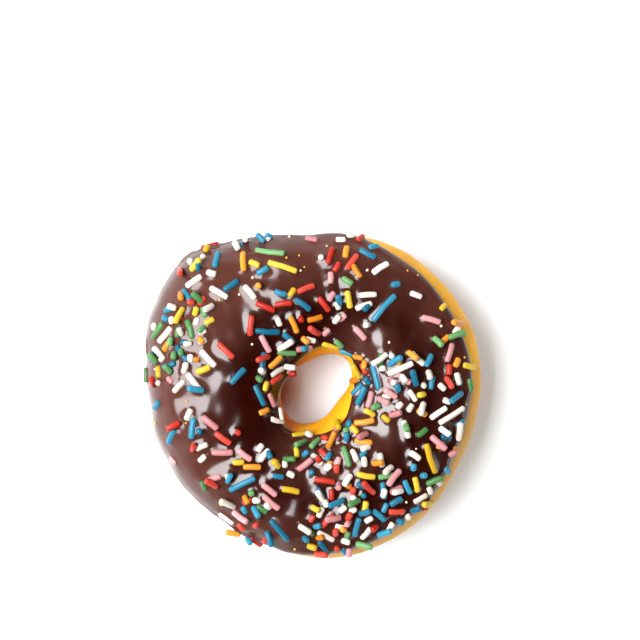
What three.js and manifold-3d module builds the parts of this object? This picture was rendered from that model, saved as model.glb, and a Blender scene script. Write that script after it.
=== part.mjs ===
// A ring doughnut with chocolate icing and sugar strand sprinkles, in millimetres, +Z up.
// Two pieces: the fried dough ring, and the set icing with the strands stuck in it.
// The origin is under the middle of the doughnut, on the surface that it rests on.

import * as THREE from "three";
import { mergeVertices } from "three/addons/utils/BufferGeometryUtils.js";
import Module from "manifold-3d";

const wasm = await Module();
wasm.setup();
const { degToRad: radians, lerp } = THREE.MathUtils;

// Driving dimensions of the dough. Lobes are [waves round the ring, depth, crest in degrees].
const outerRadius = 44.1;
const outerLobes = [
  [1, 0.77, 43],
  [2, 1.15, -37],
  [3, 1.7, 32],
  [4, 0.5, -45],
  [5, 0.65, -6],
  [6, 0.4, 17],
];
const holeRadius = 8.64;
const holeLobes = [
  [1, 0.76, 92],
  [2, 1.68, 43],
  [3, 0.59, 38],
  [4, 0.28, 44],
];
const ringAxis = [0.5, 0.7];
const equatorHeight = 14.4;
const crownRise = 15.0;
const crownLobes = [
  [1, 0.5, 200],
  [3, 0.35, 75],
];
const footDrop = 14.8;
const squareness = 0.03;

// The icing: its film, its gap over the dough, and how far above the dough's waist each edge stops.
const doughGap = 0.3;
const filmThickness = 1.3;
const outerEdgeDegrees = 23.2;
const outerEdgeLobes = [
  [1, 24.1, -8],
  [2, 5.2, 73],
  [3, 2.1, 41],
];
const innerEdgeDegrees = 34.5;
const innerEdgeLobes = [
  [1, 7.15, -35],
  [2, 6.3, 86],
  [3, 5.1, -30],
];
// The lip at each edge: how far round past the edge its blunt end lies.
const lipRollDegrees = 3;
// Slow swells in the film, [wavelength, height, direction in degrees, phase in degrees].
const filmSwells = [
  [19, 0.24, 20, 40],
  [14, 0.18, 100, 200],
  [11, 0.12, 155, 75],
];

// The strands: sugar rods that fell in handfuls. Most lie down, a few short ones stand, and some landed on
// others, but only one that lies flat stays where the icing is steep.
const strandRadius = 0.85;
const strandSink = 0.7;
const usualLengths = [2.0, 5.6];
const longLengths = [6.9, 8.4];
const longShare = 0.05;
const standingLengths = [2.0, 3.4];
const standingShare = 0.07;
const standingDegrees = 70;
const standingDepth = 0.9;
const steepBelowDegrees = 25;
const pileShare = 0.4;
const pileRise = 2.2;
const pileSteepest = 0.6;
const pileLimit = 2;
const touching = 2.1 * strandRadius;
const edgeMarginDegrees = 3;
const tossesForEach = 24;
const fusedStrands = 185;
// Long strands that catch the eye, [x, y, length, direction in degrees].
const laidStrands = [
  [-11.0, 36.5, 8.1, -17],
  [-7.7, 32.9, 8.0, -18],
  [-17.9, 34.3, 5.6, -85],
  [-21.0, 28.3, 4.8, 34],
  [-24.9, 34.7, 5.2, 92],
  [-11.9, 17.2, 6.6, -4],
  [-12.7, 13.9, 5.2, -61],
  [-37.8, 15.7, 5.5, 40],
  [-31.4, 17.1, 5.2, -70],
  [-22.7, 11.7, 5.7, -43],
  [-27.0, 9.6, 5.7, -47],
  [-20.0, 5.1, 5.5, 45],
  [4.8, 35.8, 4.8, 75],
  [9.5, 25.2, 4.7, -80],
  [18.6, 22.9, 9.1, 49],
  [30.6, 19.5, 5.2, -15],
  [35.3, 11.1, 5.2, 73],
  [23.3, 7.1, 7.3, 23],
  [17.3, 4.8, 6.9, -73],
  [35.8, -5.1, 8.2, 27],
  [30.2, -16.1, 8.6, -67],
  [9.2, -16.4, 5.7, -72],
  [14.0, -20.8, 5.0, -10],
  [3.3, -22.4, 5.5, -8],
  [17.0, -30.6, 4.5, -42],
  [14.0, -7.2, 5.5, 7],
  [-18.1, -22.7, 7.8, 28],
  [-23.3, -14.6, 5.7, 0],
  [-8.3, -34.4, 7.3, -53],
  [-1.6, 27.7, 4.9, 22],
  [-7.5, 24.0, 4.7, 6],
  [-12.2, 23.2, 5.4, -22],
  [-4.9, 19.1, 4.9, -68],
  [3.0, 24.0, 4.7, -52],
  [11.4, 32.0, 4.2, -60],
  [12.7, 16.8, 4.4, -48],
  [14.3, 26.2, 4.7, 3],
  [4.5, 13.8, 5.0, -31],
  [-9.3, -5.6, 4.0, 75],
  [-10.1, -7.2, 4.4, 0],
  [21.5, -29.7, 4.4, -5],
  [8.8, 36.7, 3.4, 80],
  [10.3, 34.3, 5.0, 55],
  [6.4, 33.1, 2.8, 60],
  [14.2, 36.3, 4.8, -30],
  [11.4, -33.6, 5.6, 80],
  [9.2, 11.9, 3.9, -8],
  [12.7, 10.5, 3.2, 5],
  [6.9, 14.3, 3.2, -55],
  [-10.4, 9.3, 4.7, 40],
  [-10.1, 6.5, 4.4, 15],
  [-10.4, 4.4, 4.4, 15],
  [-13.1, 2.4, 2.8, 70],
  [-14.7, -0.1, 6.0, -62],
  [0.0, 40.3, 3.6, -35],
];
// Handfuls of loose strands, [x, y, spread, count].
const handfuls = [
  [-34.5, 13.3, 7.5, 27],
  [-31.5, 21.2, 5.5, 34],
  [-42.0, 7.2, 6, 6],
  [-32.5, 5.7, 5, 5],
  [-30.0, 35.2, 6, 10],
  [-15.9, 38.5, 5, 7],
  [-14.7, 29.0, 5, 3],
  [8.5, 33.2, 9, 9],
  [25.3, 29.9, 11, 2],
  [-7.1, 19.4, 8, 11],
  [10.6, 24.0, 7, 7],
  [2.1, 13.8, 4.5, 4],
  [-10.9, 6.4, 5, 8],
  [-14.7, -1.5, 4, 2],
  [17.7, 4.6, 7, 34],
  [18.6, -1.5, 5, 8],
  [26.1, 5.5, 6, 9],
  [38.4, 12.2, 7, 8],
  [31.5, -3.7, 10, 15],
  [33.3, -15.4, 8, 10],
  [12.6, -26.0, 11, 45],
  [4.3, -13.3, 10, 23],
  [-6.4, -18.5, 5, 5],
  [-17.6, -21.9, 9, 20],
  [-15.0, -28.3, 5, 5],
  [7.0, -34.5, 9, 27],
  [-15.0, -34.9, 9, 7],
  [-28.0, -10.2, 9, 11],
  [28.0, -29.7, 8, 9],
  [0.0, -0.3, 44, 9],
];

// Facets of the faceted solids.
const stepsRound = 48;
const doughSteps = 18;
const filmSteps = 10;
const wayBackSteps = 4;
const wayBackDepth = 3;
const strandSides = 5;

function lobed(mean, lobes, turn) {
  const lobeAt = ([waves, depth, crest]) => depth * Math.cos(waves * (turn - radians(crest)));
  return lobes.reduce((sum, lobe) => sum + lobeAt(lobe), mean);
}

// A point on the dough's skin: turn goes round the ring, and roll goes round its section,
// from the outer waist at 0 over the crown at a quarter turn to the hole's waist at a half turn.
function doughPoint(turn, roll) {
  const outer = lobed(outerRadius, outerLobes, turn);
  const inner = lobed(holeRadius, holeLobes, turn);
  const across = (Math.cos(roll) - squareness * Math.cos(3 * roll)) / (1 - squareness);
  const up = (Math.sin(roll) + squareness * Math.sin(3 * roll)) / (1 - squareness);
  const reach = (outer + inner) / 2 + ((outer - inner) / 2) * across;
  const rise = up > 0 ? lobed(crownRise, crownLobes, turn) : footDrop;
  const height = Math.max(0, equatorHeight + rise * up);
  const [axisX, axisY] = ringAxis;
  return new THREE.Vector3(axisX + reach * Math.cos(turn), axisY + reach * Math.sin(turn), height);
}

// The outward normal of a surface that is a function of turn and roll.
function normalOf(surface, turn, roll) {
  const nudge = 0.004;
  const along = surface(turn + nudge, roll).sub(surface(turn - nudge, roll));
  const round = surface(turn, roll + nudge).sub(surface(turn, roll - nudge));
  return along.cross(round).normalize();
}

function swell(point) {
  return filmSwells.reduce((sum, [wavelength, height, direction, phase]) => {
    const along = point.x * Math.cos(radians(direction)) + point.y * Math.sin(radians(direction));
    return sum + height * Math.sin((2 * Math.PI * along) / wavelength + radians(phase));
  }, 0);
}

function overDough(turn, roll, clearance) {
  return doughPoint(turn, roll).addScaledVector(normalOf(doughPoint, turn, roll), clearance);
}

function icingPoint(turn, roll) {
  return overDough(turn, roll, doughGap + filmThickness + swell(doughPoint(turn, roll)));
}

const outerEdge = (turn) => radians(lobed(outerEdgeDegrees, outerEdgeLobes, turn));
const innerEdge = (turn) => Math.PI - radians(lobed(innerEdgeDegrees, innerEdgeLobes, turn));

// A closed ring surface from a loop of section points, given as a function of turn.
function ringGeometry(sectionAt) {
  const positions = [];
  const indices = [];
  let count = 0;
  for (let i = 0; i < stepsRound; i++) {
    const section = sectionAt((2 * Math.PI * i) / stepsRound);
    count = section.length;
    for (const p of section) positions.push(p.x, p.y, p.z);
  }
  for (let i = 0; i < stepsRound; i++) {
    const next = (i + 1) % stepsRound;
    for (let j = 0; j < count; j++) {
      const up = (j + 1) % count;
      const [a, b, c, d] = [i * count + j, next * count + j, next * count + up, i * count + up];
      indices.push(a, b, c, a, c, d);
    }
  }
  const geometry = new THREE.BufferGeometry();
  geometry.setAttribute("position", new THREE.Float32BufferAttribute(positions, 3));
  geometry.setIndex(indices);
  return geometry;
}

function doughSection(turn) {
  return Array.from({ length: doughSteps }, (_, j) => doughPoint(turn, (2 * Math.PI * j) / doughSteps));
}

// The icing's section before the dough is cut from it: the film, a blunt lip at each edge, and a way back
// through the dough.
function icingSection(turn) {
  const lipRoll = radians(lipRollDegrees);
  const lip = doughGap + filmThickness / 2;
  const from = outerEdge(turn);
  const to = innerEdge(turn);
  const film = Array.from({ length: filmSteps + 1 }, (_, j) =>
    icingPoint(turn, from + ((to - from) * j) / filmSteps),
  );
  const way = Array.from({ length: wayBackSteps + 1 }, (_, j) =>
    overDough(turn, to + ((from - to) * j) / wayBackSteps, -wayBackDepth),
  );
  return [...film, overDough(turn, to + lipRoll, lip), ...way, overDough(turn, from - lipRoll, lip)];
}

// The dough with its gap, which is cut from the icing.
function clearDoughSection(turn) {
  return Array.from({ length: doughSteps }, (_, j) =>
    overDough(turn, (2 * Math.PI * j) / doughSteps, doughGap),
  );
}

function solidFrom(geometry) {
  const bare = geometry.clone();
  bare.deleteAttribute("normal");
  bare.deleteAttribute("uv");
  const merged = mergeVertices(bare, 1e-4);
  return new wasm.Manifold(
    new wasm.Mesh({
      numProp: 3,
      vertProperties: new Float32Array(merged.attributes.position.array),
      triVerts: new Uint32Array(merged.index.array),
    }),
  );
}

function geometryFrom(solid) {
  const mesh = solid.getMesh();
  const geometry = new THREE.BufferGeometry();
  geometry.setAttribute("position", new THREE.BufferAttribute(new Float32Array(mesh.vertProperties), 3));
  geometry.setIndex(new THREE.BufferAttribute(new Uint32Array(mesh.triVerts), 1));
  return geometry;
}

// A repeatable draw between 0 and 1.
let drawn = 50043;
function draw() {
  drawn = (drawn * 48271) % 2147483647;
  return drawn / 2147483647;
}

// The turn and roll of the icing under a plan position, or null near its edges and off it.
function underPlan(x, y) {
  const turn = Math.atan2(y - ringAxis[1], x - ringAxis[0]);
  const outer = lobed(outerRadius, outerLobes, turn);
  const inner = lobed(holeRadius, holeLobes, turn);
  const reach = Math.hypot(x - ringAxis[0], y - ringAxis[1]);
  const across = (reach - (outer + inner) / 2) / ((outer - inner) / 2 + doughGap + filmThickness);
  if (Math.abs(across) > 1) return null;
  const roll = Math.acos(across);
  const margin = radians(edgeMarginDegrees);
  return roll > outerEdge(turn) + margin && roll < innerEdge(turn) - margin ? { turn, roll } : null;
}

// A strand's length, from a draw between 0 and 1.
function strandLength(size) {
  const usualShare = 1 - longShare;
  return size < usualShare
    ? lerp(...usualLengths, size / usualShare)
    : lerp(...longLengths, (size - usualShare) / longShare);
}

// The distance in plan between two strands' middle lines, from five points along the first.
function apart(a, b) {
  let least = Infinity;
  for (let i = -2; i <= 2; i++) {
    const dx = a.x + (i / 4) * a.run * Math.cos(a.heading) - b.x;
    const dy = a.y + (i / 4) * a.run * Math.sin(a.heading) - b.y;
    const along = dx * Math.cos(b.heading) + dy * Math.sin(b.heading);
    const past = Math.max(0, Math.abs(along) - b.run / 2);
    const aside = dy * Math.cos(b.heading) - dx * Math.sin(b.heading);
    least = Math.min(least, Math.hypot(past, aside));
  }
  return least;
}

// The laid strands, then each handful's, tossed until enough have landed on free icing or on a small pile.
// Nothing lands on a laid strand or on a piled one.
function scatterStrands() {
  const strands = laidStrands.map(([x, y, length, direction]) => {
    const run = length - 2 * strandRadius;
    return { x, y, length, run, heading: radians(direction), tilt: 0, clear: true, ...underPlan(x, y) };
  });
  for (const [x, y, spread, count] of handfuls) {
    let landed = 0;
    for (let toss = 0; toss < tossesForEach * count && landed < count; toss++) {
      const bearing = 2 * Math.PI * draw();
      const distance = spread * Math.sqrt(draw());
      const size = draw();
      const heading = 2 * Math.PI * draw();
      const stands = draw() < standingShare;
      const piles = draw() < pileShare;
      const strand = { x: x + distance * Math.cos(bearing), y: y + distance * Math.sin(bearing), heading };
      strand.length = stands ? lerp(...standingLengths, size) : strandLength(size);
      strand.tilt = stands ? radians(standingDegrees) : 0;
      strand.run = (strand.length - 2 * strandRadius) * Math.cos(strand.tilt);
      const spot = underPlan(strand.x, strand.y);
      if (!spot) continue;
      const onSteep = Math.sin(spot.roll) < Math.sin(radians(steepBelowDegrees));
      if (stands && onSteep) continue;
      const near = strands.filter((other) => apart(strand, other) < touching);
      const allowed = piles && !stands && !onSteep ? pileLimit : 0;
      if (near.length > allowed || near.some((other) => other.clear)) continue;
      strand.piled = near.length > 0;
      strand.clear = strand.piled;
      if (strand.piled && towards(strand, near[0]) < 0) strand.heading += Math.PI;
      strands.push({ ...strand, ...spot });
      landed++;
    }
  }
  return strands;
}

// How far another strand's middle lies ahead of this one's middle.
function towards(strand, other) {
  return (other.x - strand.x) * Math.cos(strand.heading) + (other.y - strand.y) * Math.sin(strand.heading);
}

// A rod of unit radius and length along Y, which each strand scales.
const rodProfile = [
  [0, -0.5],
  [1, -0.5],
  [1, 0.5],
  [0, 0.5],
];
const rod = new THREE.LatheGeometry(rodProfile.map(([r, y]) => new THREE.Vector2(r, y)), strandSides);

// A strand lies along the icing, sunk a little. A piled one leans up over its neighbour, and a standing one
// has its foot in the icing.
function strandSolid(strand) {
  const seat = icingPoint(strand.turn, strand.roll);
  const up = normalOf(icingPoint, strand.turn, strand.roll);
  const level = new THREE.Vector3(Math.cos(strand.heading), Math.sin(strand.heading), 0);
  const along = level.addScaledVector(up, -level.dot(up)).normalize();
  const lean = strand.piled ? Math.asin(Math.min(pileSteepest, pileRise / strand.length)) : strand.tilt;
  const axis = along.multiplyScalar(Math.cos(lean)).addScaledVector(up, Math.sin(lean));
  const depth = strand.tilt > 0 ? standingDepth : 0;
  const lift = strandRadius * (1 - strandSink) + (strand.length / 2) * Math.sin(lean) - depth;
  const shaped = rod.clone().scale(strandRadius, strand.length, strandRadius);
  shaped.applyQuaternion(new THREE.Quaternion().setFromUnitVectors(new THREE.Vector3(0, 1, 0), axis));
  const centre = seat.addScaledVector(up, lift);
  return solidFrom(shaped.translate(centre.x, centre.y, centre.z));
}

function node(name, geometry, color, roughness) {
  const mesh = new THREE.Mesh(geometry, new THREE.MeshStandardMaterial({ color, roughness, metalness: 0 }));
  mesh.name = name;
  return mesh;
}

// The icing with the longest strands fused to it, cut clear of the dough. Scraps that hold to nothing
// are dropped.
const longestFirst = scatterStrands().sort((a, b) => b.length - a.length);
const strandSolids = longestFirst.slice(0, fusedStrands).map(strandSolid);
const overlapping = wasm.Manifold.union([solidFrom(ringGeometry(icingSection)), ...strandSolids]);
const cut = overlapping.subtract(solidFrom(ringGeometry(clearDoughSection)));
const [icing] = cut.decompose().sort((a, b) => b.volume() - a.volume());

const doughnut = new THREE.Group();
doughnut.add(node("dough_ring", ringGeometry(doughSection), 0xe0a03a, 0.7));
doughnut.add(node("icing_with_sprinkles", geometryFrom(icing), 0x3a1c14, 0.25));

export default doughnut;
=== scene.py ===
import math
import bpy
import numpy as np
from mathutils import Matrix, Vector, kdtree


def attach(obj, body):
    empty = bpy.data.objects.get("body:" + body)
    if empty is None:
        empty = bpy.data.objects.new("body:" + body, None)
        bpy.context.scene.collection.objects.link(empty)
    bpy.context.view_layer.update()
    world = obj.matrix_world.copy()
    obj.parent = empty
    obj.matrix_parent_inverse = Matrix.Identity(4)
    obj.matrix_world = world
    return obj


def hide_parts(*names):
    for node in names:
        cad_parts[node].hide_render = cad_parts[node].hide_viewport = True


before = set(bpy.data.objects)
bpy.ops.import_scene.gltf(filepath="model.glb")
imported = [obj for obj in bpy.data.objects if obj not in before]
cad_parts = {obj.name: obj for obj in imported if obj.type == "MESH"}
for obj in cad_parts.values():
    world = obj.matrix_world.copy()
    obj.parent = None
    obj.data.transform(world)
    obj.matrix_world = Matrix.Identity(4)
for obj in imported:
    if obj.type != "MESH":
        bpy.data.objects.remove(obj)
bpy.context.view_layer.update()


# ---- Dough ring ----
# A ring of yeast dough, proved and fried on both faces, so it is golden brown above and below with a
# paler proof line round the waist. Shapes are worked out in millimetres, and MM turns them into metres.

MM = 0.001
RING_AXIS = (0.5, 0.7)
OUTER_RADIUS = 44.1
HOLE_RADIUS = 8.64
OUTER_LOBES = [  # waves round the ring, depth, crest in degrees
    (1, 0.77, 43),
    (2, 1.15, -37),
    (3, 1.7, 32),
    (4, 0.5, -45),
    (5, 0.65, -6),
    (6, 0.4, 17),
]
HOLE_LOBES = [(1, 0.76, 92), (2, 1.68, 43), (3, 0.59, 38), (4, 0.28, 44)]
WAIST_HEIGHT = 14.4
CROWN_RISE = 15.0
CROWN_LOBES = [(1, 0.5, 200), (3, 0.35, 75)]
FOOT_DROP = 14.8
SQUARENESS = 0.03
DOUGH_LUMPS = [(23, 0.10, 35, 10), (13, 0.07, 110, 80), (8, 0.05, 160, 200)]  # length, height, degrees, phase
LUMPS_FADE_BELOW = 3
PROOF_LINE_HALF_WIDTH = 3.2
PROOF_LINE_DEPTH = 0.22
CREASE_HEIGHT = 9.5  # a fold low in the hole's wall
CREASE_WANDER = [(14, 1.4, 20, 60)]
CREASE_HALF_WIDTH = 1.1
CREASE_DEPTH = 0.5


def lobed(mean, lobes, turn):
    """A value that waves round the ring."""
    return mean + sum(depth * np.cos(count * (turn - math.radians(crest))) for count, depth, crest in lobes)


def dough_point(turn, roll):
    """The dough's skin: turn goes round the ring, roll round its section from the outer waist upwards."""
    outer = lobed(OUTER_RADIUS, OUTER_LOBES, turn)
    inner = lobed(HOLE_RADIUS, HOLE_LOBES, turn)
    across = (np.cos(roll) - SQUARENESS * np.cos(3 * roll)) / (1 - SQUARENESS)
    up = (np.sin(roll) + SQUARENESS * np.sin(3 * roll)) / (1 - SQUARENESS)
    reach = (outer + inner) / 2 + (outer - inner) / 2 * across
    rise = np.where(up > 0, lobed(CROWN_RISE, CROWN_LOBES, turn), FOOT_DROP)
    height = np.maximum(0, WAIST_HEIGHT + rise * up)
    return np.stack([RING_AXIS[0] + reach * np.cos(turn), RING_AXIS[1] + reach * np.sin(turn), height], -1)


def normal_of(surface, turn, roll):
    """The outward normal, from short steps both ways along a surface."""
    nudge = 0.004
    along = surface(turn + nudge, roll) - surface(turn - nudge, roll)
    round_section = surface(turn, roll + nudge) - surface(turn, roll - nudge)
    normal = np.cross(along, round_section)
    return normal / np.linalg.norm(normal, axis=-1, keepdims=True)


def waves(point, swells):
    """Slow swells over a surface, each a sine along its own direction in plan."""
    total = 0
    for wavelength, height, degrees, phase in swells:
        direction = math.radians(degrees)
        along = point[..., 0] * math.cos(direction) + point[..., 1] * math.sin(direction)
        total = total + height * np.sin(2 * math.pi * along / wavelength + math.radians(phase))
    return total


def over_dough(turn, roll, clearance):
    """A place at some clearance from the dough's skin."""
    return dough_point(turn, roll) + normal_of(dough_point, turn, roll) * np.asarray(clearance)[..., None]


def vertices_of(piece):
    """The places of a piece's vertices, in metres."""
    where = np.empty(len(piece.data.vertices) * 3)
    piece.data.vertices.foreach_get("co", where)
    return where.reshape(-1, 3)


def add_ring(name, steps_round, section_steps):
    """A plain torus to be shaped, with the turn and the roll of each of its vertices."""
    bpy.ops.object.select_all(action="DESELECT")
    across = (OUTER_RADIUS - HOLE_RADIUS) / 2 * MM
    middle = (OUTER_RADIUS + HOLE_RADIUS) / 2 * MM
    bpy.ops.mesh.primitive_torus_add(
        major_segments=steps_round, minor_segments=section_steps, major_radius=middle, minor_radius=across
    )
    ring = bpy.context.object
    ring.name = name
    x, y, z = vertices_of(ring).T
    return ring, np.arctan2(y, x), np.arctan2(z, np.hypot(x, y) - middle)


def move_vertices(piece, points):
    """Puts a piece's vertices at points in millimetres, and shades it smooth."""
    piece.data.vertices.foreach_set("co", (points * MM).ravel())
    piece.data.update()
    for polygon in piece.data.polygons:
        polygon.use_smooth = True


dough, turn, roll = add_ring("fried_dough", steps_round=300, section_steps=112)
skin = dough_point(turn, roll)
lumps = waves(skin, DOUGH_LUMPS) * np.clip(skin[:, 2] / LUMPS_FADE_BELOW, 0, 1)
inner_half = np.clip(-np.cos(roll), 0, 1)
crease_height = CREASE_HEIGHT + waves(skin, CREASE_WANDER)
lumps -= CREASE_DEPTH * inner_half * np.exp(-(((skin[:, 2] - crease_height) / CREASE_HALF_WIDTH) ** 2))
proof = np.exp(-(((skin[:, 2] - WAIST_HEIGHT) / PROOF_LINE_HALF_WIDTH) ** 4))
move_vertices(dough, over_dough(turn, roll, lumps - PROOF_LINE_DEPTH * proof))


class Wire:
    """A shader socket that arithmetic can be done on; each step adds a Math node."""

    def __init__(self, shader, socket):
        self.shader, self.socket = shader, socket

    def maths(self, operation, first, second):
        return self.shader.maths(operation, first, second)

    def __add__(self, other):
        return self.maths("ADD", self, other)

    def __sub__(self, other):
        return self.maths("SUBTRACT", self, other)

    def __rsub__(self, other):
        return self.maths("SUBTRACT", other, self)

    def __mul__(self, other):
        return self.maths("MULTIPLY", self, other)

    def __truediv__(self, other):
        return self.maths("DIVIDE", self, other)

    def __abs__(self):
        return self.maths("ABSOLUTE", self, 0)

    __radd__ = __add__
    __rmul__ = __mul__


class Shader:
    """A node tree under construction."""

    def __init__(self, tree):
        self.tree = tree

    def node(self, kind, settings, sockets):
        made = self.tree.nodes.new(kind)
        for name, value in settings.items():
            setattr(made, name, value)
        for name, value in sockets.items():
            self.feed(made.inputs[name], value)
        return {socket.name: Wire(self, socket) for socket in made.outputs if socket.enabled}

    def feed(self, socket, value):
        if isinstance(value, Wire):
            self.tree.links.new(value.socket, socket)
        elif isinstance(value, tuple) and socket.type == "RGBA":
            socket.default_value = (*value, 1)
        else:
            socket.default_value = value

    def maths(self, operation, first, second):
        return self.node("ShaderNodeMath", {"operation": operation}, {0: first, 1: second})["Value"]

    def place(self):
        return self.node("ShaderNodeTexCoord", {}, {})["Object"]

    def about(self, middle):
        """The way along x and y from a middle in plan, the distance from it, and the height above z = 0."""
        place = self.node("ShaderNodeSeparateXYZ", {}, {"Vector": self.place()})
        x, y = place["X"] - middle[0] * MM, place["Y"] - middle[1] * MM
        return x, y, self.maths("SQRT", x * x + y * y, 0), place["Z"]

    def noise(self, size, detail=3.0, roughness=0.5):
        """Noise between 0 and 1 whose blotches are about size millimetres wide."""
        sockets = {"Vector": self.place(), "Scale": 1 / (size * MM), "Detail": detail, "Roughness": roughness}
        return self.node("ShaderNodeTexNoise", {}, sockets)["Fac"]

    def varied(self, ends, size, detail=3.0):
        """Noise between two ends, whose blotches are about size millimetres wide."""
        return self.noise(size, detail) * (ends[1] - ends[0]) + ends[0]

    def smooth(self, value, low, high):
        """Rises gently from 0 to 1 as the value goes from low to high."""
        sockets = {"Value": value, "From Min": low, "From Max": high}
        return self.node("ShaderNodeMapRange", {"interpolation_type": "SMOOTHSTEP"}, sockets)["Result"]

    def over(self, length, reach):
        """Rises gently from 0 to 1 as a length passes over a reach, given in millimetres."""
        return self.smooth(length, reach[0] * MM, reach[1] * MM)

    def mix(self, share, first, second):
        """A colour that goes from the first to the second as the share goes from 0 to 1."""
        return self.node("ShaderNodeMix", {"data_type": "RGBA"}, {0: share, 6: first, 7: second})["Result"]


class Finish(Shader):
    """A material under construction."""

    def __init__(self, name, **constants):
        self.material = bpy.data.materials.new(name)
        self.material.use_nodes = True
        super().__init__(self.material.node_tree)
        self.surface = self.tree.nodes["Principled BSDF"]
        for socket, value in constants.items():
            self.surface.inputs[socket.replace("_", " ")].default_value = value

    def bump(self, height, depth, normal=None):
        """Relief of depth millimetres where height goes from 0 to 1."""
        sockets = {"Height": height, "Distance": depth * MM, "Strength": 1.0}
        if normal:
            sockets["Normal"] = normal
        return self.node("ShaderNodeBump", {}, sockets)["Normal"]

    def paint(self, **sockets):
        for name, value in sockets.items():
            self.feed(self.surface.inputs[name.replace("_", " ")], value)


RAGGEDNESS = 3.2  # how far the borders between the crust's colours wander
GOLDEN_CRUST = (0.87, 0.42, 0.010)
DEEP_CRUST = (0.62, 0.22, 0.008)
MOST_BROWNED = 0.45
UNDER_CRUST = (0.42, 0.135, 0.018)
UNDER_CRUST_FADE = (4.0, 13.0)  # heights over which the browner underside gives way
PALE_PROOF = (0.84, 0.62, 0.34)
PROOF_LINE_DROP = 1.6
PROOF_LINE_CLIMB = 3.6  # how much higher the proof line runs on the near right
PROOF_LINE_FADE = (1.0, 4.6)
PROOF_LINE_STRENGTH = 0.85
HOLE_LINE_FADE = (0.4, 2.8)
HOLE_LINE_STRENGTH = 0.6
OUTER_SIDE = (28, 38)  # distances from the ring's axis over which its outer side begins
HOLE_SIDE = (11, 17)
SHADED_WALL = (0.66, 0.23, 0.035)  # painted shade on the far side of the hole, away from the window
SHADED_WALL_FADE = (-7, -3)
PAINTED_SHADE_CRUST = (0.46, 0.26, 0.07)  # painted shade on the near right side, darker and greyer than the crust
PAINTED_SHADE_CRUST_FADE = (18, 40)
PAINTED_SHADE_CRUST_ABOVE = (2, 9)
PAINTED_SHADE_CRUST_STRENGTH = 0.7
CRUST_ROUGHNESS = (0.52, 0.72)
BLISTER_DEPTH = 0.30
CRUST_GRAIN_DEPTH = 0.13

crust = Finish(
    "fried_crust",
    Subsurface_Weight=0.12,
    Subsurface_Scale=2 * MM,
    Subsurface_Radius=(1.0, 0.45, 0.15),
    Specular_IOR_Level=0.22,
)
x, y, from_axis, height = crust.about(RING_AXIS)
ragged = (crust.noise(5.0, 4) - 0.5) * (RAGGEDNESS * MM)
browned = crust.mix(crust.smooth(crust.noise(7.0, 5), 0.35, 0.75) * MOST_BROWNED, GOLDEN_CRUST, DEEP_CRUST)
mottle = crust.smooth(crust.noise(2.4, 5), 0.3, 0.7) * 0.3 + 0.7
low_down = 1 - crust.over(height + ragged * 0.8, UNDER_CRUST_FADE)
skin_colour = crust.mix(low_down * mottle, browned, UNDER_CRUST)

outside = crust.over(from_axis, OUTER_SIDE)
in_hole = 1 - crust.over(from_axis + ragged, HOLE_SIDE)
# Painted shade: the far wall of the hole, in the ring's own shadow, is painted darker and redder.
shaded = (1 - crust.over(x + ragged, SHADED_WALL_FADE)) * in_hole
from_waist = abs(height + ragged * 0.4 - WAIST_HEIGHT * MM)
hole_line = (1 - crust.over(from_waist, HOLE_LINE_FADE)) * (1 - outside) * (1 - shaded)
skin_colour = crust.mix(shaded, skin_colour, SHADED_WALL)
skin_colour = crust.mix(hole_line * HOLE_LINE_STRENGTH, skin_colour, PALE_PROOF)

to_near_right = (x - y) / math.hypot(1, 1)
line_height = to_near_right / OUTER_RADIUS * PROOF_LINE_CLIMB + (WAIST_HEIGHT - PROOF_LINE_DROP) * MM
proof_line = (1 - crust.over(abs(height + ragged - line_height), PROOF_LINE_FADE)) * outside
skin_colour = crust.mix(proof_line * PROOF_LINE_STRENGTH, skin_colour, PALE_PROOF)
# Painted shade: the near right side, away from the window, is painted darker and greyer above the foot.
near_right_shade = crust.over(to_near_right + ragged, PAINTED_SHADE_CRUST_FADE) * crust.over(height, PAINTED_SHADE_CRUST_ABOVE)
skin_colour = crust.mix(near_right_shade * PAINTED_SHADE_CRUST_STRENGTH, skin_colour, PAINTED_SHADE_CRUST)

blisters = crust.bump(crust.noise(3.4, 2), BLISTER_DEPTH)
crust.paint(
    Base_Color=skin_colour,
    Roughness=crust.varied(CRUST_ROUGHNESS, 2.0),
    Normal=crust.bump(crust.noise(1.1, 4, roughness=0.62), CRUST_GRAIN_DEPTH, blisters),
)
dough.data.materials.append(crust.material)
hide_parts("dough_ring")
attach(dough, "root")


# ---- Chocolate icing ----
# A film of chocolate icing that the ring was dipped in, set glossy. It comes down to the waist on one side
# and stops higher on the other, and its edge is a rounded bead that sits on the dough. It is darkest where it
# is thick and browner where it drained thin towards its rim; that browner rim reaches further in towards the
# lit left and back as painted light, and the lighter brown on the near right shoulder of the hole is a
# painted sheen.

DOUGH_GAP = 0.3
FILM_THICKNESS = 1.3
OUTER_EDGE_DEGREES = 23.2
OUTER_EDGE_LOBES = [(1, 24.1, -8), (2, 5.2, 73), (3, 2.1, 41)]
INNER_EDGE_DEGREES = 34.5
INNER_EDGE_LOBES = [(1, 7.15, -35), (2, 6.3, 86), (3, 5.1, -30)]
FILM_SWELLS = [(19, 0.24, 20, 40), (14, 0.18, 100, 200), (11, 0.12, 155, 75)]
FINE_SWELLS = [(6.3, 0.045, 65, 30), (5.1, 0.035, 140, 120), (4.3, 0.03, 5, 250)]
LIP_WIDTH = 1.9
BEAD_HEIGHT = 0.22
BEAD_INSET = 2.7
BEAD_HALF_WIDTH = 1.2
FILM_SHARE = 0.86  # of the section's steps, the rest lie under the film
EDGE_CROWDING = 0.82  # how much closer the steps are near both edges
SUNK_IN_DOUGH = 0.12  # how far the film's underside lies in the dough


def outer_edge(turn):
    return np.radians(lobed(OUTER_EDGE_DEGREES, OUTER_EDGE_LOBES, turn))


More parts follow.
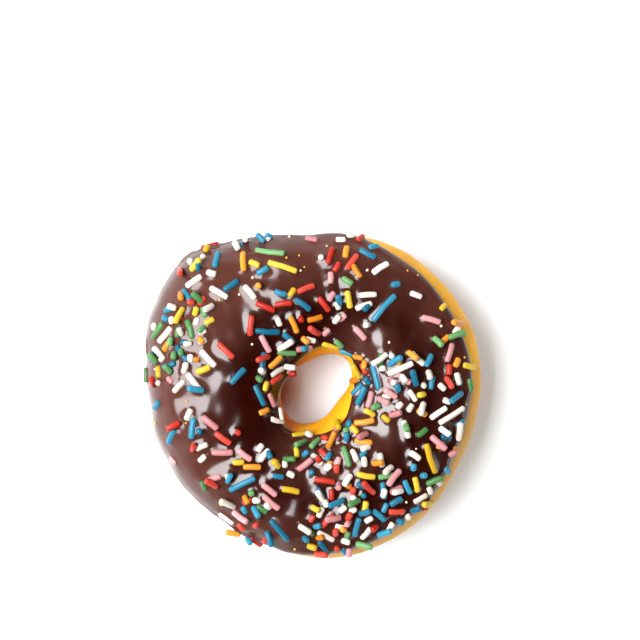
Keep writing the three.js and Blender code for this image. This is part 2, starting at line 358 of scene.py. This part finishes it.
def inner_edge(turn):
    return math.pi - np.radians(lobed(INNER_EDGE_DEGREES, INNER_EDGE_LOBES, turn))


def icing_clearance(turn, roll):
    return DOUGH_GAP + FILM_THICKNESS + waves(dough_point(turn, roll), FILM_SWELLS)


def icing_point(turn, roll):
    return over_dough(turn, roll, icing_clearance(turn, roll))


def film_clearance(turn, roll):
    """The film's top over the dough, with its finer swells, the bead along each edge and the rounded lip."""
    half_section = (OUTER_RADIUS - HOLE_RADIUS) / 2
    inset = half_section * np.minimum(roll - outer_edge(turn), inner_edge(turn) - roll)
    fine = waves(dough_point(turn, roll), FINE_SWELLS)
    bead = BEAD_HEIGHT * np.exp(-(((inset - BEAD_INSET) / BEAD_HALF_WIDTH) ** 2))
    fall = np.sqrt(np.clip(1 - (1 - np.clip(inset / LIP_WIDTH, 0, 1)) ** 2, 0, 1))
    return (icing_clearance(turn, roll) + fine + bead) * fall


icing, turn, roll = add_ring("chocolate_icing", steps_round=640, section_steps=150)
step = (roll / (2 * math.pi)) % 1
over = np.clip(step / FILM_SHARE, 0, 1)
crowded = over - EDGE_CROWDING * np.sin(2 * math.pi * over) / (2 * math.pi)
under = np.clip((step - FILM_SHARE) / (1 - FILM_SHARE), 0, 1)
film_roll = outer_edge(turn) + (inner_edge(turn) - outer_edge(turn)) * (crowded - under)
film = np.where(step < FILM_SHARE, film_clearance(turn, film_roll), -SUNK_IN_DOUGH)
move_vertices(icing, over_dough(turn, film_roll, film))

THICK_COCOA = (0.017, 0.0014, 0.0005)
THIN_COCOA_AND_SHEEN = (0.078, 0.0245, 0.017)
BLOTCH_WANDER = 12  # how far the borders of the thin icing wander
DRAINED_RIM = (21.5, 45)  # distances from the ring's axis
RIM_LEAN_TO_LIGHT = (-0.22, 0.15)  # it starts nearer the axis towards -x and +y, the lit left and back: painted light
# distances from the ring's axis of the painted sheen on the near right shoulder of the hole
PAINTED_SHEEN_REACH = (18, 31)
SHOULDER_DIRECTION = (0.87, -0.5)
SHOULDER_SIDE = (-8, 6)
PAINTED_SHEEN_STRENGTH = 0.62
GLAZE_ROUGHNESS = (0.40, 0.52)
GLAZE_COAT = 0.92
COAT_LOST_AT_RIM = 0.26
RIPPLE_DEPTH = 0.05

glaze = Finish("chocolate_glaze", Specular_IOR_Level=0.0, Coat_IOR=1.5, Coat_Roughness=0.165)
x, y, from_axis, _ = glaze.about(RING_AXIS)
blotch = (glaze.noise(9.0, 2) - 0.5) * (BLOTCH_WANDER * MM)
# The icing drained thin and browner towards its rim; the rim leaning in towards the lit left and back is
# painted light.
rim = glaze.over(from_axis + y * RIM_LEAN_TO_LIGHT[1] + x * RIM_LEAN_TO_LIGHT[0] + blotch, DRAINED_RIM)
# Painted sheen: the near right shoulder of the hole is painted a lighter brown.
to_shoulder = x * SHOULDER_DIRECTION[0] + y * SHOULDER_DIRECTION[1]
painted_sheen = glaze.over(to_shoulder, SHOULDER_SIDE) * (1 - glaze.over(from_axis + blotch, PAINTED_SHEEN_REACH))
drained_and_sheen = glaze.maths("MAXIMUM", rim, painted_sheen * PAINTED_SHEEN_STRENGTH)
glaze.paint(
    Base_Color=glaze.mix(drained_and_sheen, THICK_COCOA, THIN_COCOA_AND_SHEEN),
    Roughness=glaze.varied(GLAZE_ROUGHNESS, 4.0),
    Coat_Weight=GLAZE_COAT - rim * COAT_LOST_AT_RIM,
    Normal=glaze.bump(glaze.noise(2.6, 2), RIPPLE_DEPTH),
)
icing.data.materials.append(glaze.material)
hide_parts("icing_with_sprinkles")
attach(icing, "root")


# ---- Sugar strands ----
# Sprinkles cut from thin extruded sugar paste in seven colours, shaken on while the icing was wet. Most lie
# down in it, a few short ones stand, and some lean over others. Each colour is one joined mesh.

STRAND_RADIUS = 0.85
STRAND_SINK = 0.7
USUAL_LENGTHS = (2.0, 5.6)
LONG_LENGTHS = (6.9, 8.4)
LONG_SHARE = 0.05
STANDING_LENGTHS = (2.0, 3.4)
STANDING_SHARE = 0.07
STANDING_DEGREES = 70
STANDING_DEPTH = 0.9
STEEP_BELOW_DEGREES = 25
PILE_SHARE = 0.4
PILE_RISE = 2.2
PILE_STEEPEST = 0.6
PILE_LIMIT = 2
TOUCHING = 2.1 * STRAND_RADIUS
EDGE_MARGIN_DEGREES = 3
TOSSES_FOR_EACH = 24
SCATTER_SEED = 50043
LAID_STRANDS = [  # x, y, length, direction in degrees, colour
    (-11.0, 36.5, 8.1, -17, "green"),
    (-7.7, 32.9, 8.0, -18, "yellow"),
    (-17.9, 34.3, 5.6, -85, "orange"),
    (-21.0, 28.3, 4.8, 34, "teal"),
    (-24.9, 34.7, 5.2, 92, "teal"),
    (-11.9, 17.2, 6.6, -4, "teal"),
    (-12.7, 13.9, 5.2, -61, "pink"),
    (-37.8, 15.7, 5.5, 40, "white"),
    (-31.4, 17.1, 5.2, -70, "green"),
    (-22.7, 11.7, 5.7, -43, "red"),
    (-27.0, 9.6, 5.7, -47, "white"),
    (-20.0, 5.1, 5.5, 45, "teal"),
    (4.8, 35.8, 4.8, 75, "red"),
    (9.5, 25.2, 4.7, -80, "yellow"),
    (18.6, 22.9, 9.1, 49, "teal"),
    (30.6, 19.5, 5.2, -15, "pink"),
    (35.3, 11.1, 5.2, 73, "pink"),
    (23.3, 7.1, 7.3, 23, "white"),
    (17.3, 4.8, 6.9, -73, "teal"),
    (35.8, -5.1, 8.2, 27, "white"),
    (30.2, -16.1, 8.6, -67, "yellow"),
    (9.2, -16.4, 5.7, -72, "green"),
    (14.0, -20.8, 5.0, -10, "yellow"),
    (3.3, -22.4, 5.5, -8, "red"),
    (17.0, -30.6, 4.5, -42, "teal"),
    (14.0, -7.2, 5.5, 7, "orange"),
    (-18.1, -22.7, 7.8, 28, "teal"),
    (-23.3, -14.6, 5.7, 0, "pink"),
    (-8.3, -34.4, 7.3, -53, "teal"),
    (-1.6, 27.7, 4.9, 22, "red"),
    (-7.5, 24.0, 4.7, 6, "red"),
    (-12.2, 23.2, 5.4, -22, "red"),
    (-4.9, 19.1, 4.9, -68, "orange"),
    (3.0, 24.0, 4.7, -52, "red"),
    (11.4, 32.0, 4.2, -60, "orange"),
    (12.7, 16.8, 4.4, -48, "pink"),
    (14.3, 26.2, 4.7, 3, "white"),
    (4.5, 13.8, 5.0, -31, "yellow"),
    (-9.3, -5.6, 4.0, 75, "white"),
    (-10.1, -7.2, 4.4, 0, "white"),
    (21.5, -29.7, 4.4, -5, "red"),
    (8.8, 36.7, 3.4, 80, "orange"),
    (10.3, 34.3, 5.0, 55, "red"),
    (6.4, 33.1, 2.8, 60, "red"),
    (14.2, 36.3, 4.8, -30, "teal"),
    (11.4, -33.6, 5.6, 80, "teal"),
    (9.2, 11.9, 3.9, -8, "teal"),
    (12.7, 10.5, 3.2, 5, "orange"),
    (6.9, 14.3, 3.2, -55, "green"),
    (-10.4, 9.3, 4.7, 40, "orange"),
    (-10.1, 6.5, 4.4, 15, "white"),
    (-10.4, 4.4, 4.4, 15, "red"),
    (-13.1, 2.4, 2.8, 70, "yellow"),
    (-14.7, -0.1, 6.0, -62, "teal"),
    (0.0, 40.3, 3.6, -35, "pink"),
]
HANDFULS = [  # x, y, spread, count
    (-34.5, 13.3, 7.5, 27),
    (-31.5, 21.2, 5.5, 34),
    (-42.0, 7.2, 6, 6),
    (-32.5, 5.7, 5, 5),
    (-30.0, 35.2, 6, 10),
    (-15.9, 38.5, 5, 7),
    (-14.7, 29.0, 5, 3),
    (8.5, 33.2, 9, 9),
    (25.3, 29.9, 11, 2),
    (-7.1, 19.4, 8, 11),
    (10.6, 24.0, 7, 7),
    (2.1, 13.8, 4.5, 4),
    (-10.9, 6.4, 5, 8),
    (-14.7, -1.5, 4, 2),
    (17.7, 4.6, 7, 34),
    (18.6, -1.5, 5, 8),
    (26.1, 5.5, 6, 9),
    (38.4, 12.2, 7, 8),
    (31.5, -3.7, 10, 15),
    (33.3, -15.4, 8, 10),
    (12.6, -26.0, 11, 45),
    (4.3, -13.3, 10, 23),
    (-6.4, -18.5, 5, 5),
    (-17.6, -21.9, 9, 20),
    (-15.0, -28.3, 5, 5),
    (7.0, -34.5, 9, 27),
    (-15.0, -34.9, 9, 7),
    (-28.0, -10.2, 9, 11),
    (28.0, -29.7, 8, 9),
    (0.0, -0.3, 44, 9),
]
STRAND_COLOURS = {  # share of the mix, colour
    "white": (0.30, (0.80, 0.74, 0.66)),
    "teal": (0.24, (0.000, 0.200, 0.315)),
    "red": (0.11, (0.58, 0.030, 0.008)),
    "pink": (0.10, (0.66, 0.28, 0.29)),
    "yellow": (0.09, (0.70, 0.47, 0.014)),
    "orange": (0.08, (0.74, 0.27, 0.002)),
    "green": (0.08, (0.110, 0.30, 0.095)),
}


def seeded(state):
    """A repeatable draw between 0 and 1, the same one as the solids are scattered by."""
    while True:
        state = state * 48271 % 2147483647
        yield state / 2147483647


def between(ends, share):
    """The value a share of the way from one end to the other."""
    return ends[0] + (ends[1] - ends[0]) * share


def under_plan(x, y):
    """The turn and roll of the icing under a plan position, or None near its edges and off it."""
    turn = math.atan2(y - RING_AXIS[1], x - RING_AXIS[0])
    outer = lobed(OUTER_RADIUS, OUTER_LOBES, turn)
    inner = lobed(HOLE_RADIUS, HOLE_LOBES, turn)
    reach = math.hypot(x - RING_AXIS[0], y - RING_AXIS[1])
    across = (reach - (outer + inner) / 2) / ((outer - inner) / 2 + DOUGH_GAP + FILM_THICKNESS)
    if abs(across) > 1:
        return None
    roll = math.acos(across)
    margin = math.radians(EDGE_MARGIN_DEGREES)
    return (turn, roll) if outer_edge(turn) + margin < roll < inner_edge(turn) - margin else None


def apart(a, b):
    """The distance in plan between two strands' middle lines, from five points along the first."""
    least = math.inf
    for i in range(-2, 3):
        dx = a["x"] + i / 4 * a["run"] * math.cos(a["heading"]) - b["x"]
        dy = a["y"] + i / 4 * a["run"] * math.sin(a["heading"]) - b["y"]
        along = dx * math.cos(b["heading"]) + dy * math.sin(b["heading"])
        past = max(0, abs(along) - b["run"] / 2)
        aside = dy * math.cos(b["heading"]) - dx * math.sin(b["heading"])
        least = min(least, math.hypot(past, aside))
    return least


def strand_length(size):
    """The length of a lying strand: the longest few are much longer than the rest."""
    usual_share = 1 - LONG_SHARE
    if size < usual_share:
        return between(USUAL_LENGTHS, size / usual_share)
    return between(LONG_LENGTHS, (size - usual_share) / LONG_SHARE)


def scatter_strands():
    """The laid strands, then each handful's, tossed until enough have landed on free icing or a small pile.

    Nothing lands on a laid strand or on a piled one.
    """
    strands = []
    for x, y, length, direction, colour in LAID_STRANDS:
        run = length - 2 * STRAND_RADIUS
        spot = under_plan(x, y)
        strand = {"x": x, "y": y, "length": length, "run": run, "heading": math.radians(direction)}
        strands.append({**strand, "tilt": 0, "piled": False, "clear": True, "spot": spot, "colour": colour})
    draw = seeded(SCATTER_SEED)
    for x, y, spread, count in HANDFULS:
        landed = 0
        for _ in range(TOSSES_FOR_EACH * count):
            if landed == count:
                break
            bearing = 2 * math.pi * next(draw)
            distance = spread * math.sqrt(next(draw))
            size = next(draw)
            heading = 2 * math.pi * next(draw)
            stands = next(draw) < STANDING_SHARE
            piles = next(draw) < PILE_SHARE
            strand = {"x": x + distance * math.cos(bearing), "y": y + distance * math.sin(bearing)}
            strand["heading"] = heading
            strand["length"] = between(STANDING_LENGTHS, size) if stands else strand_length(size)
            strand["tilt"] = math.radians(STANDING_DEGREES) if stands else 0
            strand["run"] = (strand["length"] - 2 * STRAND_RADIUS) * math.cos(strand["tilt"])
            strand["spot"] = under_plan(strand["x"], strand["y"])
            if not strand["spot"]:
                continue
            on_steep = math.sin(strand["spot"][1]) < math.sin(math.radians(STEEP_BELOW_DEGREES))
            if stands and on_steep:
                continue
            near = [other for other in strands if apart(strand, other) < TOUCHING]
            allowed = PILE_LIMIT if piles and not stands and not on_steep else 0
            if len(near) > allowed or any(other["clear"] for other in near):
                continue
            strand["piled"] = strand["clear"] = len(near) > 0
            strand["under"] = near[0] if near else None
            if near:
                ahead = (near[0]["x"] - strand["x"]) * math.cos(heading)
                ahead += (near[0]["y"] - strand["y"]) * math.sin(heading)
                strand["heading"] += math.pi if ahead < 0 else 0
            strands.append(strand)
            landed += 1
    return strands


def strand_pose(strand):
    """The strand's middle, its direction and the icing's normal under it."""
    turn, roll = strand["spot"]
    seat = icing_point(turn, roll)
    up = normal_of(icing_point, turn, roll)
    level = np.array([math.cos(strand["heading"]), math.sin(strand["heading"]), 0])
    along = level - up * level.dot(up)
    along /= np.linalg.norm(along)
    lean = math.asin(min(PILE_STEEPEST, PILE_RISE / strand["length"])) if strand["piled"] else strand["tilt"]
    axis = along * math.cos(lean) + up * math.sin(lean)
    depth = STANDING_DEPTH if strand["tilt"] else 0
    lift = STRAND_RADIUS * (1 - STRAND_SINK) + strand["length"] / 2 * math.sin(lean) - depth
    return seat + up * lift, axis, up


SIDES = 8
ROD_RINGS = [  # which end, how far in from it, share of the radius
    (-1, 0, 0.52),
    (-1, 0.16, 0.84),
    (-1, 0.5, 1),
    (0, 0, 1),
    (1, -0.5, 1),
    (1, -0.16, 0.84),
    (1, 0, 0.52),
]
THINNEST = 0.93
THICKNESS_SPREAD = 0.12
BEND = 0.035
VARIETY_SEED = 9151
LIGHTEST = 0.03  # how far the lightest strand of a colour goes towards white
DEEPEST = (0.65, 1.3)  # the factor and the power that make the deepest strand of a colour
SPECKLE_STRENGTH = 0.22
SUGAR_ROUGHNESS = (0.24, 0.38)
SUGAR_GRAIN_DEPTH = 0.02


def fill_mesh(mesh, points, faces, tints):
    """Joins shapes in one smooth mesh, with a tint on each vertex for its material."""
    mesh.from_pydata((np.vstack(points) * MM).tolist(), [], faces)
    mesh.polygons.foreach_set("use_smooth", [True] * len(mesh.polygons))
    mesh.attributes.new("tint", "FLOAT", "POINT").data.foreach_set("value", tints)


def tint_of(sugar):
    return sugar.node("ShaderNodeAttribute", {"attribute_name": "tint"}, {})["Fac"]


strands = scatter_strands()
draw = seeded(VARIETY_SEED)
loose_colours = [name for name, (share, _) in STRAND_COLOURS.items() for _ in range(round(share * 100))]
parts = {name: {"points": [], "faces": [], "tints": []} for name in STRAND_COLOURS}
for strand in strands:
    middle, axis, up = strand_pose(strand)
    while "colour" not in strand:  # a strand that leans on another is told from it by its colour
        colour = loose_colours[int(next(draw) * len(loose_colours))]
        if not (strand["under"] and strand["under"]["colour"] == colour):
            strand["colour"] = colour
    radius = STRAND_RADIUS * (THINNEST + THICKNESS_SPREAD * next(draw))
    bend = BEND * strand["length"] * (2 * next(draw) - 1)
    tint = next(draw)
    side = np.cross(up, axis)
    side /= np.linalg.norm(side)
    top = np.cross(axis, side)
    part = parts[strand["colour"]]
    first = sum(len(p) for p in part["points"])
    rings = []
    for end, inset, share in ROD_RINGS:
        place = middle + axis * (end * strand["length"] / 2 + inset) + side * (bend * (1 - end * end))
        for k in range(SIDES):
            angle = 2 * math.pi * (k + 0.5) / SIDES
            rings.append(place + (side * math.cos(angle) + top * math.sin(angle)) * radius * share)
    part["points"].append(np.array(rings))
    for ring_index in range(len(ROD_RINGS) - 1):
        for k in range(SIDES):
            a = first + ring_index * SIDES + k
            b = first + ring_index * SIDES + (k + 1) % SIDES
            part["faces"].append((a, b, b + SIDES, a + SIDES))
    part["faces"].append(tuple(first + k for k in reversed(range(SIDES))))
    part["faces"].append(tuple(first + (len(ROD_RINGS) - 1) * SIDES + k for k in range(SIDES)))
    part["tints"] += [tint] * len(rings)

for name, part in parts.items():
    mesh = bpy.data.meshes.new(f"{name}_strands")
    fill_mesh(mesh, part["points"], part["faces"], part["tints"])
    piece = bpy.data.objects.new(f"{name}_strands", mesh)
    bpy.context.scene.collection.objects.link(piece)
    colour = STRAND_COLOURS[name][1]
    sugar = Finish(
        f"{name}_sugar",
        Subsurface_Weight=0.05,
        Subsurface_Scale=0.5 * MM,
        Subsurface_Radius=(1.0, 0.8, 0.6),
        Specular_IOR_Level=0.25,
    )
    speckle = sugar.smooth(sugar.noise(0.5), 0.3, 0.75)
    lightest = tuple(channel + (1 - channel) * LIGHTEST for channel in colour)
    deepest = tuple(DEEPEST[0] * channel ** DEEPEST[1] for channel in colour)
    batch = sugar.mix(tint_of(sugar), deepest, lightest)
    sugar.paint(
        Base_Color=sugar.mix(speckle * SPECKLE_STRENGTH, batch, lightest),
        Roughness=sugar.varied(SUGAR_ROUGHNESS, 0.9, 2),
        Normal=sugar.bump(sugar.noise(0.35), SUGAR_GRAIN_DEPTH),
    )
    mesh.materials.append(sugar.material)
    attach(piece, "root")


# ---- Sugar crumbs ----
# Crumbs of broken strands, under a millimetre across, stuck here and there in the icing between the strands.
# They are small rough balls, one joined mesh.

CRUMB_COUNT = 24
CRUMB_RADII = (0.28, 0.46)
CRUMB_RISE = 0.4  # of its radius, from the icing up to a crumb's middle
CRUMB_SEED = 6007
PALE_CRUMB = (0.80, 0.70, 0.50)
ORANGE_CRUMB = (0.76, 0.36, 0.03)
CRUMB_ROUGHNESS = (0.40, 0.60)

draw = seeded(CRUMB_SEED)
bpy.ops.object.select_all(action="DESELECT")
bpy.ops.mesh.primitive_ico_sphere_add(subdivisions=1, radius=1)
crumbs = bpy.context.object
crumbs.name = "sugar_crumbs"
crumb = vertices_of(crumbs)
crumb_faces = np.array([polygon.vertices for polygon in crumbs.data.polygons])
points, faces, tints = [], [], []
while len(points) < CRUMB_COUNT:
    bearing = 2 * math.pi * next(draw)
    distance = between((HOLE_RADIUS, OUTER_RADIUS), math.sqrt(next(draw)))
    radius = between(CRUMB_RADII, next(draw))
    x, y = RING_AXIS[0] + distance * math.cos(bearing), RING_AXIS[1] + distance * math.sin(bearing)
    spot = under_plan(x, y)
    place = {"x": x, "y": y, "run": 0, "heading": 0}
    if not spot or any(apart(place, other) < STRAND_RADIUS + radius for other in strands):
        continue
    faces.append(crumb_faces + len(points) * len(crumb))
    points.append(icing_point(*spot) + normal_of(icing_point, *spot) * radius * CRUMB_RISE + crumb * radius)
    tints += [next(draw)] * len(crumb)
crumbs.data.clear_geometry()
fill_mesh(crumbs.data, points, np.vstack(faces).tolist(), tints)
broken_sugar = Finish("broken_sugar", Specular_IOR_Level=0.25)
orange = broken_sugar.smooth(tint_of(broken_sugar), 0.4, 0.7)
broken_sugar.paint(
    Base_Color=broken_sugar.mix(orange, PALE_CRUMB, ORANGE_CRUMB),
    Roughness=broken_sugar.varied(CRUMB_ROUGHNESS, 0.4, 2),
)
crumbs.data.materials.append(broken_sugar.material)
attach(crumbs, "root")


# ---- Icing drawn up the strands ----
# While it was wet the icing climbed a little up each strand. It falls back to its own level a fraction of a
# millimetre away, and its rim keeps its place.

CLIMB = 0.42
CLIMB_REACH = 0.5
CLIMB_ENDS_WITHIN = 2.5
RIM_STEPS = 0.02  # the share of the section's steps at each edge that stays as it is

film_points = vertices_of(icing) / MM
tree = kdtree.KDTree(len(film_points))
for index, point in enumerate(film_points):
    tree.insert(point, index)
tree.balance()
climbs = np.zeros(len(film_points))
for strand in strands:
    middle, axis, _ = strand_pose(strand)
    span = strand["length"] / 2 + CLIMB_ENDS_WITHIN
    near = [index for _, index, _ in tree.find_range(Vector(middle), span)]
    if not near:
        continue
    offset = film_points[near] - middle
    reach = strand["length"] / 2 - STRAND_RADIUS
    along = np.clip(offset @ axis, -reach, reach)
    distance = np.linalg.norm(offset - along[:, None] * axis, axis=1) - STRAND_RADIUS
    climb = CLIMB * np.exp(-np.clip(distance, 0, None) / CLIMB_REACH)
    climbs[near] = np.maximum(climbs[near], climb)
on_top = (step > RIM_STEPS) & (step < FILM_SHARE - RIM_STEPS)
film_normals = normal_of(dough_point, turn, film_roll)
move_vertices(icing, film_points + film_normals * (climbs * on_top)[:, None])


# ---- Table, light and camera ----
# The doughnut lies on a white table top under one large soft window, high on the left, with pale walls low
# down all round and the camera straight above. The table top glows a little as painted light, least where the
# ring shades it, and a brownish painted shade lies on it under the ring beside the hole.

TABLE_SIZE = 8.0
TABLE_WHITE = (0.83, 0.88, 0.90)
SHADED_SPOT = (-17, 2)  # under the ring, to the left of the hole
PAINTED_SHADE_MARK = (0.55, 0.29, 0.12)  # painted shade on the table under the ring, darker and browner
PAINTED_SHADE_MARK_FADE = (9, 15)
NO_GLOW = (0.0, 0.0, 0.0)
HOLE_GLOW = (0.58, 0.61, 0.68)
HOLE_GLOW_FADE = (8, 17)
NEAR_GLOW = (0.95, 1.0, 1.02)
NEAR_GLOW_FADE = (15, 35)
FAR_GLOW = (2.6, 2.6, 2.6)
FAR_GLOW_FADE = (200, 1000)

bpy.ops.object.select_all(action="DESELECT")
bpy.ops.mesh.primitive_plane_add(size=TABLE_SIZE, location=(0, 0, 0))
table = bpy.context.object
table.name = "white_table"
tabletop = Finish("white_tabletop", Roughness=0.7, Emission_Strength=0.27)
_, _, from_middle, _ = tabletop.about((0, 0))
_, _, from_spot, _ = tabletop.about(SHADED_SPOT)
glow = tabletop.mix(tabletop.over(from_spot, HOLE_GLOW_FADE), NO_GLOW, HOLE_GLOW)
glow = tabletop.mix(tabletop.over(from_middle, NEAR_GLOW_FADE), glow, NEAR_GLOW)
glow = tabletop.mix(tabletop.over(from_middle, FAR_GLOW_FADE), glow, FAR_GLOW)
# The brownish patch round the shaded spot is painted shade; the glow is painted light, least there.
tabletop.paint(
    Base_Color=tabletop.mix(tabletop.over(from_spot, PAINTED_SHADE_MARK_FADE), PAINTED_SHADE_MARK, TABLE_WHITE),
    Emission_Color=glow,
)
table.data.materials.append(tabletop.material)

WINDOW_BEARING = math.radians(175)
WINDOW_ELEVATION = math.radians(61)
WINDOW_DISTANCE = 0.9
WINDOW_SIZE = 0.58
WINDOW_RADIANCE = 18.0

window = bpy.data.lights.new("window", "AREA")
window.shape = "SQUARE"
window.size = WINDOW_SIZE
window.energy = WINDOW_RADIANCE * math.pi * WINDOW_SIZE * WINDOW_SIZE
lamp = bpy.data.objects.new("window", window)
bpy.context.scene.collection.objects.link(lamp)
flat = WINDOW_DISTANCE * math.cos(WINDOW_ELEVATION)
height = WINDOW_DISTANCE * math.sin(WINDOW_ELEVATION)
lamp.location = (flat * math.cos(WINDOW_BEARING), flat * math.sin(WINDOW_BEARING), height)
lamp.rotation_euler = (-Vector(lamp.location)).to_track_quat("-Z", "Y").to_euler()

# The room is bright low down, most at the back left and at a low sill on the near right, and dark overhead.
OVERHEAD = 0.02
LOW_DOWN = 1.05
LOW_DOWN_FADE = (0.15, 0.62)
MORE_TO_THE_LEFT = 0.7
MORE_TO_THE_BACK = 0.6
SILL_DIRECTION = (0.82, -0.57, 0.0)
SILL_GLOW = 4.0
SILL_WIDTH_FADE = (0.72, 0.95)
SILL_HEIGHT_FADE = (0.10, 0.32)
ROOM_COLOUR = (1, 0.985, 1)

world = bpy.data.worlds.new("room")
bpy.context.scene.world = world
world.use_nodes = True
room = Shader(world.node_tree)
position = room.node("ShaderNodeTexCoord", {}, {})["Generated"]
direction = room.node("ShaderNodeSeparateXYZ", {}, {"Vector": position})
low_down = 1 - room.smooth(direction["Z"], *LOW_DOWN_FADE)
walls = direction["Y"] * MORE_TO_THE_BACK - direction["X"] * MORE_TO_THE_LEFT + LOW_DOWN
facing = room.node("ShaderNodeVectorMath", {"operation": "DOT_PRODUCT"}, {0: position, 1: SILL_DIRECTION})
sill = room.smooth(facing["Value"], *SILL_WIDTH_FADE) * (1 - room.smooth(direction["Z"], *SILL_HEIGHT_FADE))
background = world.node_tree.nodes["Background"]
room.feed(background.inputs["Strength"], walls * low_down + sill * SILL_GLOW + OVERHEAD)
room.feed(background.inputs["Color"], ROOM_COLOUR)

CAMERA_PLACE = (1.98, 19.74, 550.0)
camera_data = bpy.data.cameras.new("overhead")
camera_data.lens = 112
camera_data.sensor_width = 36
camera = bpy.data.objects.new("overhead", camera_data)
camera.location = [value * MM for value in CAMERA_PLACE]
bpy.context.scene.collection.objects.link(camera)
bpy.context.scene.camera = camera

bpy.context.scene.view_settings.view_transform = "Standard"
